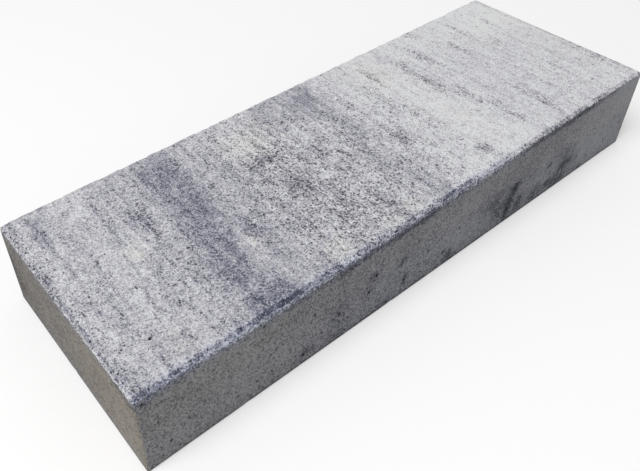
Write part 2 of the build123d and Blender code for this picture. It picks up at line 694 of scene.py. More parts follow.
class PitPlanner:
    """Chooses grid points of a sheet for pits, so that no two pits share a cell and none reaches an edge."""

    def __init__(self, points, numbers, pitch, seed):
        self.places = points[numbers]
        self.pitch = pitch
        self.pits = []
        self.random = np.random.default_rng(seed)
        flat = self.places.reshape(-1, 3)
        low, high = flat.min(axis=0), flat.max(axis=0)
        wide = (high - low) > 2 * PIT_EDGE_GAP
        inside = (self.places > low + PIT_EDGE_GAP) & (self.places < high - PIT_EDGE_GAP)
        self.free = (inside | ~wide).all(axis=2)

    def sink(self, a, b, place, radius, depth, shade=1.0):
        """Takes one grid point for a pit. The pit may lie beside the point, as far as its cells reach."""
        widest = radius * (1.0 + PIT_RAGGED_SHARE)
        reach = max(0.0, self.pitch - widest - PIT_CLEARANCE)
        shift = np.clip(place - self.places[a, b], -reach, reach)
        ragged = 1.0 + PIT_RAGGED_SHARE * self.random.uniform(-1.0, 1.0, len(PIT_RIM))
        self.pits.append(Pit(a, b, self.places[a, b] + shift, radius, depth, shade, ragged))
        gap = PIT_GAP_CELLS
        self.free[a - gap : a + gap + 1, b - gap : b + gap + 1] = False

    def sink_near(self, place, radius, depth):
        """Sinks a pit at a place, from the nearest grid point that is free."""
        a, b = np.nonzero(self.free)
        nearest = int(np.argmin(np.linalg.norm(self.places[a, b] - place, axis=1)))
        self.sink(int(a[nearest]), int(b[nearest]), place, radius, depth)

    def scatter(self, count, chance):
        """Sinks pits at free grid points drawn by chance, small ones far more often than large."""
        for _ in range(count):
            a, b = np.nonzero(self.free)
            pick = int(self.random.integers(len(a)))
            radius = chance.least + (chance.most - chance.least) * self.random.random() ** 3
            place = self.places[a[pick], b[pick]]
            depth = radius * chance.depth_share
            self.sink(int(a[pick]), int(b[pick]), place, radius, depth, chance.shade)


def tread_heights(inset, shape):
    """Height of the tread at a distance from the block's side: ledge, chamfer, then flat."""
    stops = (0.0, shape.ledge, edge_width(shape))
    return np.interp(inset, stops, (lip_level(shape), lip_level(shape), HEIGHT))


def weather_tread(points, inset, shape):
    """Opens the grain of the flat tread. Every move is into the block."""
    open_grain = soft_share(points, 7 * MM, seed=1)
    hollows = soft_share(points, 45 * MM, seed=2)
    flat = smooth(inset, shape.ledge, shape.ledge + 2 * shape.chamfer_run)
    points[:, 2] -= shape.tread_relief * flat * open_grain * (1.0 - HOLLOWS_SHARE + HOLLOWS_SHARE * hollows)


def outward_of(points, radius):
    """Level directions out of the block's sides, of length 1 at the sides and 0 well inside."""
    outward = points - inner_core(points, radius)
    outward[:, 2] = 0.0
    far = np.linalg.norm(outward, axis=1)
    return np.divide(outward, far[:, None], out=np.zeros_like(outward), where=far[:, None] > 0)


def wear_lip(points, inset, shape):
    """Wears the tread's lip back and down, unevenly along its length. Every move is into the block."""
    level = points * np.array((1.0, 1.0, 0.0))
    frayed = np.clip(FRAY_BASE + rippled(level, LIP_FRAY), 0.0, 1.0)
    worn = frayed * smooth(points[:, 2], lip_level(shape) - FRAY_DROP, lip_level(shape))
    back = worn * np.clip(1.0 - inset / shape.ledge, 0.0, 1.0)
    down = worn * (1.0 - smooth(inset, 0.0, edge_width(shape)))
    points -= outward_of(points, shape.arris) * (shape.edge_fray * back)[:, None]
    points[:, 2] -= shape.edge_wear * down


def lay_tread(made, shape):
    """Adds the tread's points with its edge, and returns the grid of their numbers and their plan."""
    insets = np.concatenate([LEDGE_SHARES * shape.ledge, shape.ledge + CHAMFER_SHARES * shape.chamfer_run])
    across = grid_lines(HALF_LENGTH, insets, shape.tread_pitch)
    up = grid_lines(HALF_DEPTH, insets, shape.tread_pitch)
    plan = np.stack(np.meshgrid(across, up, [0.0], indexing="ij"), axis=-1).reshape(-1, 3)
    inset = inset_of(plan)
    wobble = rippled(plan, CHAMFER_WOBBLE) * smooth(inset, 0.0, shape.ledge)
    tread = plan.copy()
    tread[:, 2] = tread_heights(inset + wobble, shape)
    tread = round_corners(tread, shape.arris)
    weather_tread(tread, inset, shape)
    wear_lip(tread, inset, shape)
    return made.add_points(tread).reshape(len(across), len(up)), plan.reshape(len(across), len(up), 3)


def weather_sides(points, shape):
    """Gives the sides a slight wave, fading out towards the bed. Every move is into the block."""
    fade = smooth(points[:, 2], 0.0, SIDE_FADE_HEIGHT)
    swell = soft_share(points, 60 * MM, seed=5)
    rough = soft_share(points, 11 * MM, seed=6)
    depth = shape.side_relief * fade * (SWELL_SHARE * swell + (1.0 - SWELL_SHARE) * rough)
    points -= outward_of(points, shape.arris) * depth[:, None]


def lay_sides(made, lip, lip_plan, shape):
    """Adds the points of the sides below a ring of lip points, and returns the grid of their numbers."""
    under_lip = lip_level(shape) - LIP_DROPS
    count = max(2, round((under_lip[0] - shape.arris) / shape.side_pitch))
    even_levels = np.linspace(shape.arris, under_lip[0], count + 1)
    levels = np.concatenate([ARRIS_SHARES * shape.arris, even_levels, under_lip[1:]])
    rings = [round_corners(lip_plan + np.array((0.0, 0.0, level)), shape.arris) for level in levels]
    sides = np.concatenate(rings)
    weather_sides(sides, shape)
    wear_lip(sides, np.zeros(len(sides)), shape)
    numbers = made.add_points(sides).reshape(len(levels), len(lip)).T
    return np.column_stack([numbers, lip])


def lay_bed(made, foot, foot_plan, counts, shape):
    """Closes the block below: the rest of the rounding, then strips from front to back."""
    rings = [foot]
    for share in (*ARRIS_SHARES[1:], 1.0):
        inset = share * shape.arris
        drawn_in = np.array((1.0 - inset / HALF_LENGTH, 1.0 - inset / HALF_DEPTH, 1.0))
        rings.append(made.add_points(round_corners(foot_plan * drawn_in, shape.arris)))
    closed = np.column_stack([np.append(ring, ring[0]) for ring in reversed(rings)])
    made.add_sheet(closed, CORE, BED)
    across, up = counts
    inner = rings[-1]
    front = inner[:across]
    right = inner[across - 1 : across + up - 1]
    back = inner[across + up - 2 : 2 * across + up - 2][::-1]
    left = np.append(inner[2 * across + up - 3 :], inner[0])[::-1]
    for step in range(1, across - 2):
        made.add_face((front[step + 1], front[step], back[step], back[step + 1]), CORE, BED)
    made.add_face((front[1], *left, back[1]), CORE, BED)
    made.add_face((*right, back[-2], front[-2])[::-1], CORE, BED)


def chip_edges(points, shape):
    """Breaks small chips out of the tread's lip and the bed's edges, and one out of the near corner."""
    random = np.random.default_rng(CHIP_SEED)
    lip_height = lip_level(shape)
    chips = [((-HALF_LENGTH, -HALF_DEPTH, lip_height), *CORNER_CHIP)]
    for _ in range(shape.chips):
        along, side = random.uniform(-1.0, 1.0), random.choice((-1.0, 1.0))
        plan = (side * HALF_LENGTH, along * HALF_DEPTH)
        if random.random() < HALF_LENGTH / (HALF_LENGTH + HALF_DEPTH):
            plan = (along * HALF_LENGTH, side * HALF_DEPTH)
        level = lip_height if random.random() < LIP_CHIP_SHARE else 0.0
        chips.append(((*plan, level), random.uniform(*CHIP_REACH), random.uniform(*CHIP_DEPTH)))
    for place, reach, depth in chips:
        gaps = np.linalg.norm(points - np.array(place), axis=1)
        near = gaps < reach
        on_side = np.isclose(np.abs(place), (HALF_LENGTH, HALF_DEPTH, lip_height))
        inward = -np.sign(place) * on_side
        inward[2] = 1.0 if place[2] == 0.0 else -1.0
        inward /= np.linalg.norm(inward)
        points[near] += np.outer(depth * (1.0 - gaps[near] / reach), inward)


def perimeter(across, up):
    """Grid positions round a plan, from its front left corner along the front, each once."""
    front = [(a, 0) for a in range(across)]
    right = [(across - 1, b) for b in range(1, up)]
    back = [(a, up - 1) for a in range(across - 2, -1, -1)]
    left = [(0, b) for b in range(up - 2, 0, -1)]
    return tuple(np.array(front + right + back + left).T)


def face_place(side, across, up):
    """Place in the block for a place on the tread, the front or the left end."""
    places = {TREAD: (across, up, HEIGHT), FRONT: (across, -HALF_DEPTH, up), LEFT: (-HALF_LENGTH, across, up)}
    return np.array(places[side])


def plan_pits(points, sheet, side, count, chance, shape):
    """Pits of one sheet: first its pinholes, then a count of them drawn by chance."""
    planner = PitPlanner(points, sheet, shape.tread_pitch, PIT_SEED + side)
    for hole in PINHOLES.get(side, ()):
        planner.sink_near(face_place(side, hole.across * MM, hole.up * MM), hole.radius * MM, hole.depth * MM)
    planner.scatter(count, chance)
    return planner.pits


def block_mesh(shape):
    """Makes the block's mesh: the tread with its edge, the four sides and the bed, all joined."""
    made = BlockMesh()
    tread, plan = lay_tread(made, shape)
    across, up = tread.shape
    ring = perimeter(across, up)
    sides = lay_sides(made, tread[ring], plan[ring], shape)
    chip_edges(made.points, shape)

    pits = plan_pits(made.points, tread, TREAD, shape.tread_pits, TREAD_PITS, shape)
    made.add_sheet(tread, FACING, TREAD, pits)
    closed = np.vstack([sides, sides[:1]])
    corners = np.cumsum((0, across - 1, up - 1, across - 1, up - 1))
    for side in (FRONT, RIGHT, BACK, LEFT):
        sheet = closed[corners[side - FRONT] : corners[side - FRONT + 1] + 1]
        count = shape.front_pits if side in (FRONT, BACK) else shape.end_pits
        pits = plan_pits(made.points, sheet, side, count, SIDE_PITS, shape)
        made.add_sheet(sheet, CORE, side, pits)
    lay_bed(made, sides[:, 0], plan[ring], (across, up), shape)
    return made


def edge_zones(inset, shape):
    """Shares from 0 to 1 of the ledge, the chamfer and the strip beside it, at a distance from the side."""
    foot, head = shape.ledge, edge_width(shape)
    ledge = 1.0 - smooth(inset, 0.5 * foot, foot)
    chamfer = (1.0 - ledge) * (1.0 - smooth(inset, head - CHAMFER_BLUR, head + CHAMFER_BLUR))
    beside = smooth(inset, foot, head) * (1.0 - smooth(inset, *BESIDE_REACH))
    return ledge, chamfer, beside


def tread_values(points, across, up, shape):
    """Clouds and grit: the stains at wandering places, and more of both along the tread's edges, with painted
    shade on the front chamfer and a painted highlight on the end ledges.
    """
    x, y, _ = points.T
    ledge, chamfer, _ = edge_zones(HALF_DEPTH + y, shape)
    end_ledge, end_chamfer, beside = edge_zones(HALF_LENGTH - np.abs(x), shape)
    patchy = 1.0 + rippled(points, EDGE_PATCHES)
    # The front chamfer: partly a darker mix, partly painted shade
    chamfer_mix_and_painted_shade = faded(x, CHAMFER_MIX_AND_PAINTED_SHADE) * patchy + stained(across, np.zeros(len(x)), CHAMFER_CLOUDS)
    cloud_and_painted_light = stained(across, up, TREAD_CLOUDS) + BESIDE_SHADE * beside
    cloud_and_painted_light += faded(x, LEDGE_SHADE) * ledge + chamfer_mix_and_painted_shade * chamfer
    # The end ledges: a painted highlight towards the back, and the end chamfers a darker mix
    cloud_and_painted_light += faded(y, END_LEDGE_TONE_AND_PAINTED_HIGHLIGHT) * end_ledge + faded(y, END_CHAMFER_SHADE) * end_chamfer
    grit = stained(across, up, TREAD_GRIT) + BESIDE_GRIT * beside
    grit += faded(x, EDGE_GRIT) * (chamfer + ledge) * patchy + END_CHAMFER_GRIT * end_chamfer
    return cloud_and_painted_light, grit


def side_warmth(points, on_front):
    """Warmth of the sides: the ends are warmer, and the front a little, least under the lip."""
    x, y, z = points.T
    warmth = smooth(np.abs(x), *END_WARMTH_REACH) * faded(z, END_WARMTH_UNDER_LIP)
    warmth *= faded(y, END_WARMTH_BACK) * faded(z, END_WARMTH_FOOT)
    front_warmth = faded(x, FRONT_WARMTH_ALONG) + faded(z, FRONT_WARMTH_UP)
    front_warmth *= faded(z, FRONT_WARMTH_UNDER_LIP)
    return warmth + front_warmth * on_front * (1.0 - warmth)


def surface_values(made, shape):
    """Values that the finishes read at each point of the mesh, by name."""
    points = made.points
    x, y, z = points.T
    across = x + rippled(points, DRIFT_ALONG)
    up = y + rippled(points, DRIFT_BACK)
    cloud_and_painted_light, grit = tread_values(points, across, up, shape)

    ripple = rippled(points, SMEAR_RIPPLE)
    on_front = y < SIDE_BAND - HALF_DEPTH
    on_left = x < SIDE_BAND - HALF_LENGTH
    on_tread = z > HEIGHT - TREAD_BAND
    # Smears on the front and the left end; the front's also hold painted shadow under the lip
    smear_and_shade = np.where(on_front, stained(x + ripple, z + ripple, FRONT_SMEARS_AND_SHADE), 0.0)
    smear_and_shade += np.where(on_left, stained(y + ripple, z + ripple, LEFT_END_PATCHES), 0.0)
    # Painted shade along the foot, on the bed's rounded edge, which faces down
    smear_and_shade += faded(z, FOOT_PAINTED_SHADE)
    warmth = np.where(on_tread, stained(across, up, TREAD_WARM), side_warmth(points, on_front))
    # Painted shade in the pits
    hollow_shade = np.zeros(len(points))
    hollow_shade[list(made.hollows)] = list(made.hollows.values())

    spill_along = (x + SPILL_WANDER * ripple) / MM
    spill = np.where(on_front, np.interp(spill_along, SPILL_PLACES, SPILL_SHARES), 1.0)
    inset = inset_of(points)
    spill += SPILL_OVER_EDGE * smooth(inset, 0.0, edge_width(shape)) + faded(inset, SPILL_ON_TREAD)
    cool = faded(HALF_DEPTH + y, COOL_BACK) * faded(z, COOL_UP)
    cool *= faded(x, COOL_ALONG) - faded(x, COOL_LOSS_RIGHT)
    names = (CLOUD_AND_PAINTED_LIGHT, GRIT, SMEAR_AND_SHADE, WARMTH, HOLLOW_SHADE, SPILL, COOL)
    return dict(zip(names, (cloud_and_painted_light, grit, smear_and_shade, warmth, hollow_shade, spill, cool)))


# Flat layout of the block's faces for a baked picture
LAYOUT_GAP = 8 * MM
LAYOUT_BED_SCALE = 0.6
LAYOUT_SIZE = 2 * (HALF_LENGTH + LAYOUT_GAP)


def flat_places(points, sides):
    """Places in the unit square for points on the given sides, the bed at a smaller scale than the rest."""
    x, y, z = points[:, 0] + HALF_LENGTH, points[:, 1] + HALF_DEPTH, points[:, 2]
    length, depth, gap = 2 * HALF_LENGTH, 2 * HALF_DEPTH, LAYOUT_GAP
    front_foot = depth + 2 * gap
    back_foot = front_foot + HEIGHT + gap
    ends_foot = back_foot + HEIGHT + gap
    flat = {
        TREAD: (x + gap, y + gap),
        FRONT: (x + gap, z + front_foot),
        BACK: (length - x + gap, z + back_foot),
        LEFT: (depth - y + gap, z + ends_foot),
        RIGHT: (y + gap, z + ends_foot + HEIGHT + gap),
        BED: (x * LAYOUT_BED_SCALE + depth + 3 * gap, y * LAYOUT_BED_SCALE + ends_foot + gap),
    }
    placed = np.zeros((len(points), 2))
    for side, (right, up) in flat.items():
        here = sides == side
        placed[here] = np.column_stack([right, up])[here]
    return placed / LAYOUT_SIZE


def finished_object(made, shape, materials):
    """Turns the block's points and faces into an object with its surface values, layout and finishes."""
    mesh = bpy.data.meshes.new("block_step_concrete")
    mesh.from_pydata(made.points.tolist(), [], made.faces)
    for material in materials:
        mesh.materials.append(material)
    mesh.polygons.foreach_set("material_index", made.finishes)
    for name, values in surface_values(made, shape).items():
        layer = mesh.attributes.new(name, "FLOAT", "POINT")
        layer.data.foreach_set("value", values.astype(np.float32))
    corner_points = np.zeros(len(mesh.loops), int)
    mesh.loops.foreach_get("vertex_index", corner_points)
    corner_sides = np.repeat(made.sides, [len(face) for face in made.faces])
    layout = mesh.uv_layers.new(name="OFBake")
    placed = flat_places(made.points[corner_points], corner_sides)
    layout.uv.foreach_set("vector", placed.astype(np.float32).ravel())
    mesh.shade_smooth()
    mesh.set_sharp_from_angle(angle=SHARP_ANGLE)
    if mesh.validate(verbose=True):
        raise RuntimeError("the block's mesh had faces that Blender had to correct")
    block = bpy.data.objects.new("block_step_concrete", mesh)
    bpy.context.scene.collection.objects.link(block)
    return block


def add_node(tree, kind, settings=None, inputs=None):
    """Adds a node with its settings, and sets each named input or joins an output to it."""
    node = tree.nodes.new(kind)
    for name, value in (settings or {}).items():
        setattr(node, name, value)
    for key, value in (inputs or {}).items():
        if isinstance(value, bpy.types.NodeSocket):
            tree.links.new(value, node.inputs[key])
        else:
            node.inputs[key].default_value = value
    return node


def calc(tree, operation, *values):
    """Result of a Math node."""
    return add_node(tree, "ShaderNodeMath", {"operation": operation}, dict(enumerate(values))).outputs[0]


def total(tree, *terms):
    """Sum of pairs of a value and its weight."""
    result = 0.0
    for value, weight in terms:
        result = calc(tree, "MULTIPLY_ADD", value, weight, result)
    return result


def rise(tree, value, low, high):
    """Rises smoothly from 0 where the value is low to 1 where it is high."""
    settings = {"interpolation_type": "SMOOTHSTEP"}
    inputs = {"Value": value, "From Min": low, "From Max": high}
    return add_node(tree, "ShaderNodeMapRange", settings, inputs).outputs["Result"]


def mix_colour(tree, share, first, second):
    """Mix of two colours."""
    settings = {"data_type": "RGBA", "clamp_factor": True}
    return add_node(tree, "ShaderNodeMix", settings, {0: share, 6: first, 7: second}).outputs[2]


def shade_colour(tree, shade, colours):
    """Colour for a shade: each colour in turn, at even steps from the first at 0 to the last at 1."""
    ramp = add_node(tree, "ShaderNodeValToRGB", None, {"Fac": shade})
    stops = ramp.color_ramp.elements
    for step, colour in enumerate(colours):
        place = step / (len(colours) - 1)
        stop = stops[step] if step < len(stops) else stops.new(place)
        stop.position = place
        stop.color = colour
    return ramp.outputs["Color"]


def surface_value(tree, name):
    """Value kept on the mesh under a name."""
    settings = {"attribute_type": "GEOMETRY", "attribute_name": name}
    return add_node(tree, "ShaderNodeAttribute", settings).outputs["Fac"]


def soft_noise(tree, place, spacing, detail, roughness):
    """Noise from about -0.5 to 0.5 with waves of a spacing in metres."""
    inputs = {"Vector": place, "Scale": 1.0 / spacing, "Detail": detail, "Roughness": roughness}
    return calc(tree, "SUBTRACT", add_node(tree, "ShaderNodeTexNoise", None, inputs).outputs["Fac"], 0.5)


def new_group(name, inputs, outputs):
    """Starts a node group, and returns it with the sockets to read from and to write to."""
    group = bpy.data.node_groups.new(name, "ShaderNodeTree")
    for label, kind in inputs:
        group.interface.new_socket(name=label, in_out="INPUT", socket_type=kind)
    for label in outputs:
        group.interface.new_socket(name=label, in_out="OUTPUT", socket_type="NodeSocketFloat")
    return group, group.nodes.new("NodeGroupInput").outputs, group.nodes.new("NodeGroupOutput").inputs


# Inputs of the groups made of cells, and the values that shape their grains and pores
CELL_INPUTS = (("Place", "NodeSocketVector"), ("Size", "NodeSocketFloat"), ("Density", "NodeSocketFloat"))
LINE_INPUTS = (("Place", "NodeSocketVector"), ("Spacing", "NodeSocketVector"), ("Detail", "NodeSocketFloat"))
LINE_ROUGHNESS = 0.6
GRAIN_EDGE = (0.62, 0.46)
GRAIN_LEAST_DARK = 0.6
GRAIN_PALE_FROM = 0.92
MEAN_OF_SQUARES = 1 / 3
PORE_LEAST_REACH = 0.10
PORE_MORE_REACH = 0.22
PORE_EDGE = (1.0, 0.6)


def packed_cells(group, given):
    """Distance from the middle of packed cells of a size, and three values drawn by chance for each cell."""
    inputs = {"Vector": given["Place"], "Scale": calc(group, "DIVIDE", 1.0, given["Size"])}
    cells = add_node(group, "ShaderNodeTexVoronoi", {"feature": "F1"}, inputs).outputs
    chance = add_node(group, "ShaderNodeSeparateColor", None, {"Color": cells["Color"]}).outputs
    return cells["Distance"], chance


def make_mineral_grain():
    """Node group for packed grains of sand: each has its own shade, and a share of them is dark or pale."""
    group, given, result = new_group("Mineral grain", CELL_INPUTS, ("Shade", "Dark", "Pale", "Height"))
    distance, chance = packed_cells(group, given)
    body = rise(group, distance, *GRAIN_EDGE)
    is_dark = calc(group, "LESS_THAN", chance["Green"], given["Density"])
    depth = calc(group, "MULTIPLY_ADD", chance["Red"], 1.0 - GRAIN_LEAST_DARK, GRAIN_LEAST_DARK)
    is_pale = calc(group, "GREATER_THAN", chance["Blue"], GRAIN_PALE_FROM)
    skewed = calc(group, "MULTIPLY", chance["Red"], chance["Red"])
    group.links.new(calc(group, "SUBTRACT", skewed, MEAN_OF_SQUARES), result["Shade"])
    group.links.new(calc(group, "MULTIPLY", calc(group, "MULTIPLY", is_dark, depth), body), result["Dark"])
    group.links.new(calc(group, "MULTIPLY", is_pale, body), result["Pale"])
    group.links.new(calc(group, "MULTIPLY", body, chance["Red"]), result["Height"])
    return group


def make_drag_lines():
    """Node group for soft lines that the mould or the scraper dragged along the surface."""
    group, given, result = new_group("Drag lines", LINE_INPUTS, ("Value",))
    inputs = {0: given["Place"], 1: given["Spacing"]}
    spread = add_node(group, "ShaderNodeVectorMath", {"operation": "DIVIDE"}, inputs).outputs[0]
    inputs = {"Vector": spread, "Scale": 1.0, "Detail": given["Detail"], "Roughness": LINE_ROUGHNESS}
    lines = add_node(group, "ShaderNodeTexNoise", None, inputs).outputs["Fac"]
    group.links.new(calc(group, "SUBTRACT", lines, 0.5), result["Value"])
    return group


def make_pores():
    """Node group for tiny open pores, some of them larger than the rest."""
    group, given, result = new_group("Pores", CELL_INPUTS, ("Mask",))
    distance, chance = packed_cells(group, given)
    is_open = calc(group, "LESS_THAN", chance["Red"], given["Density"])
    reach = calc(group, "MULTIPLY_ADD", chance["Green"], PORE_MORE_REACH, PORE_LEAST_REACH)
    hole = rise(group, calc(group, "DIVIDE", distance, reach), *PORE_EDGE)
    group.links.new(calc(group, "MULTIPLY", is_open, hole), result["Mask"])
    return group


class Effects:
    """The node groups that both finishes use."""

    def __init__(self):
        self.mineral_grain = make_mineral_grain()
        self.drag_lines = make_drag_lines()
        self.pores = make_pores()

    def grains(self, tree, place, size, density):
        """Shade, dark, pale and height of packed grains."""
        inputs = {"Place": place, "Size": size, "Density": density}
        return add_node(tree, "ShaderNodeGroup", {"node_tree": self.mineral_grain}, inputs).outputs

    def lines(self, tree, place, spacing, detail):
        """Value of dragged lines, from about -0.5 to 0.5."""
        inputs = {"Place": place, "Spacing": spacing, "Detail": detail}
        return add_node(tree, "ShaderNodeGroup", {"node_tree": self.drag_lines}, inputs).outputs["Value"]

    def holes(self, tree, place, size, density):
        """Mask of open pores."""
        inputs = {"Place": place, "Size": size, "Density": density}
        return add_node(tree, "ShaderNodeGroup", {"node_tree": self.pores}, inputs).outputs["Mask"]


# Soft noise of the finishes: spacing, detail and roughness
FACING_BLOTS = (12 * MM, 5.0, 0.68)
FACING_FINE = (1.3 * MM, 2.0, 0.7)
CORE_MOTTLE = (38 * MM, 5.0, 0.6)
CORE_BLOTS = (6 * MM, 4.0, 0.7)
CORE_FINE = (1.4 * MM, 2.0, 0.7)

# Dragged lines of the finishes: spacing by axis, and detail
WISPS = ((10 * MM, 120 * MM, 10 * MM), 4.0)
THREADS = ((2.2 * MM, 18 * MM, 2.2 * MM), 2.0)
DRAGS = ((5 * MM, 5 * MM, 40 * MM), 3.0)
LIP_TEETH = ((4 * MM, 4 * MM, 9 * MM), 2.0)

# Sizes of grains, and size and density of specks under the lip and of pores
SAND_SIZE = 1.7 * MM
GRAIN_SIZE = 2.8 * MM
CLUMP_SIZE = 4.0 * MM
CORE_GRAIN_SIZE = 1.6 * MM
LIP_SPECKS = (2.6 * MM, 0.30)
CORE_PORES = (8 * MM, 0.30)

# Ragged end of the facing below the lip: what each noise and the spill add to the height, and where it starts
RAGGED_BLOTS = 16 * MM
RAGGED_TEETH = 24 * MM
SPILL_REACH = 9 * MM
FACING_START = HEIGHT - 2.5 * MM
FACING_FULL = HEIGHT + 1.5 * MM

# Roughness of the finishes, the depth that their bump stands for, and where the front's grit grows calmer
FACING_ROUGHNESS = 0.88
CORE_ROUGHNESS = 0.92
FLOOR_ROUGHNESS = 0.95
SPECULAR_LEVEL = 0.25
FACING_BUMP = 0.45 * MM
CORE_BUMP = 0.25 * MM
CALM_FROM, CALM_TO = -60 * MM, 120 * MM
CALM_LOSS = -0.25


def new_finish(name, roughness):
    """Starts a matt material, and returns it with its node tree, its shader and the place on the block."""
    material = bpy.data.materials.new(name)
    material.use_nodes = True
    tree = material.node_tree
    shader = tree.nodes["Principled BSDF"]
    shader.inputs["Roughness"].default_value = roughness
    shader.inputs["Specular IOR Level"].default_value = SPECULAR_LEVEL
    return material, tree, shader, add_node(tree, "ShaderNodeTexCoord").outputs["Object"]


def add_bump(tree, shader, height, distance):
    """Roughens a finish by a height from 0 to 1 that stands for a distance in metres."""
    bump = add_node(tree, "ShaderNodeBump", None, {"Strength": 1.0, "Distance": distance, "Height": height})
    tree.links.new(bump.outputs["Normal"], shader.inputs["Normal"])


def tinted(tree, share, colour, tint):
    """Colour multiplied by a tint, by a share of it."""
    settings = {"data_type": "RGBA", "blend_type": "MULTIPLY", "clamp_factor": True}
    return add_node(tree, "ShaderNodeMix", settings, {0: share, 6: colour, 7: tint}).outputs[2]


def facing_reach(tree, place, effects):
    """Share of the facing mix from 0 to 1: it reaches over the lip and ends raggedly somewhat below it."""
    height = add_node(tree, "ShaderNodeSeparateXYZ", None, {0: place}).outputs["Z"]
    blots = soft_noise(tree, place, *CORE_BLOTS)
    teeth = effects.lines(tree, place, *LIP_TEETH)
    spill = surface_value(tree, SPILL)
    border = total(tree, (height, 1.0), (blots, RAGGED_BLOTS), (teeth, RAGGED_TEETH), (spill, SPILL_REACH))
    return rise(tree, border, FACING_START, FACING_FULL)


def make_facing(colours, pore_shade, effects):
    """Finish of the tread: pale mix with blue-grey clouds drawn front to back, and dark and pale grains, with
    painted shade on the front chamfer and in the pits and a painted highlight on the end ledges.
    """
    material, tree, shader, place = new_finish("Speckled facing", FACING_ROUGHNESS)
    cloud_and_painted_light = surface_value(tree, CLOUD_AND_PAINTED_LIGHT)
    grit = surface_value(tree, GRIT)
    wisps = effects.lines(tree, place, *WISPS)
    threads = effects.lines(tree, place, *THREADS)
    blots = soft_noise(tree, place, *FACING_BLOTS)
    fine = soft_noise(tree, place, *FACING_FINE)
    crowd = total(tree, (wisps, 1.6), (blots, 1.75), (grit, 1.0))
    sand = effects.grains(tree, place, SAND_SIZE, calc(tree, "MULTIPLY", crowd, 0.48))
    grains = effects.grains(tree, place, GRAIN_SIZE, total(tree, (crowd, 0.46), (1.0, -0.19)))
    clumps = effects.grains(tree, place, CLUMP_SIZE, total(tree, (crowd, 0.30), (1.0, -0.20)))
    restless = calc(tree, "MINIMUM", total(tree, (grit, 0.3), (cloud_and_painted_light, 0.8), (1.0, 0.60)), 1.5)
    stir = total(tree, (wisps, 0.64), (blots, 0.66), (threads, 0.32), (fine, 0.96))
    stir = total(tree, (stir, 1.0), (sand["Shade"], 0.50), (grains["Shade"], 0.16))
    shade = total(tree, (calc(tree, "MULTIPLY", stir, restless), 1.0), (cloud_and_painted_light, 1.0), (1.0, 0.07))
    colour = shade_colour(tree, shade, (colours.pale, colours.light, colours.hazy, colours.dark))
    colour = tinted(tree, surface_value(tree, WARMTH), colour, colours.sandy)
    colour = tinted(tree, surface_value(tree, COOL), colour, colours.cool)
    for layer, share in ((sand, 0.70), (clumps, 0.55), (grains, 1.0)):
        colour = mix_colour(tree, calc(tree, "MULTIPLY", layer["Dark"], share), colour, colours.grain)
    colour = mix_colour(tree, calc(tree, "MULTIPLY", sand["Pale"], 0.50), colour, colours.pale_grain)
    bare = calc(tree, "SUBTRACT", 1.0, facing_reach(tree, place, effects))
    colour = mix_colour(tree, calc(tree, "MULTIPLY", bare, 0.8), colour, colours.grain)
    # Painted shade in the pits
    colour = mix_colour(tree, surface_value(tree, HOLLOW_SHADE), colour, pore_shade)
    tree.links.new(colour, shader.inputs["Base Color"])

    height = total(tree, (grains["Height"], 0.7), (fine, 0.9), (threads, 0.3), (grains["Dark"], -0.8))
    add_bump(tree, shader, height, FACING_BUMP)
    return material


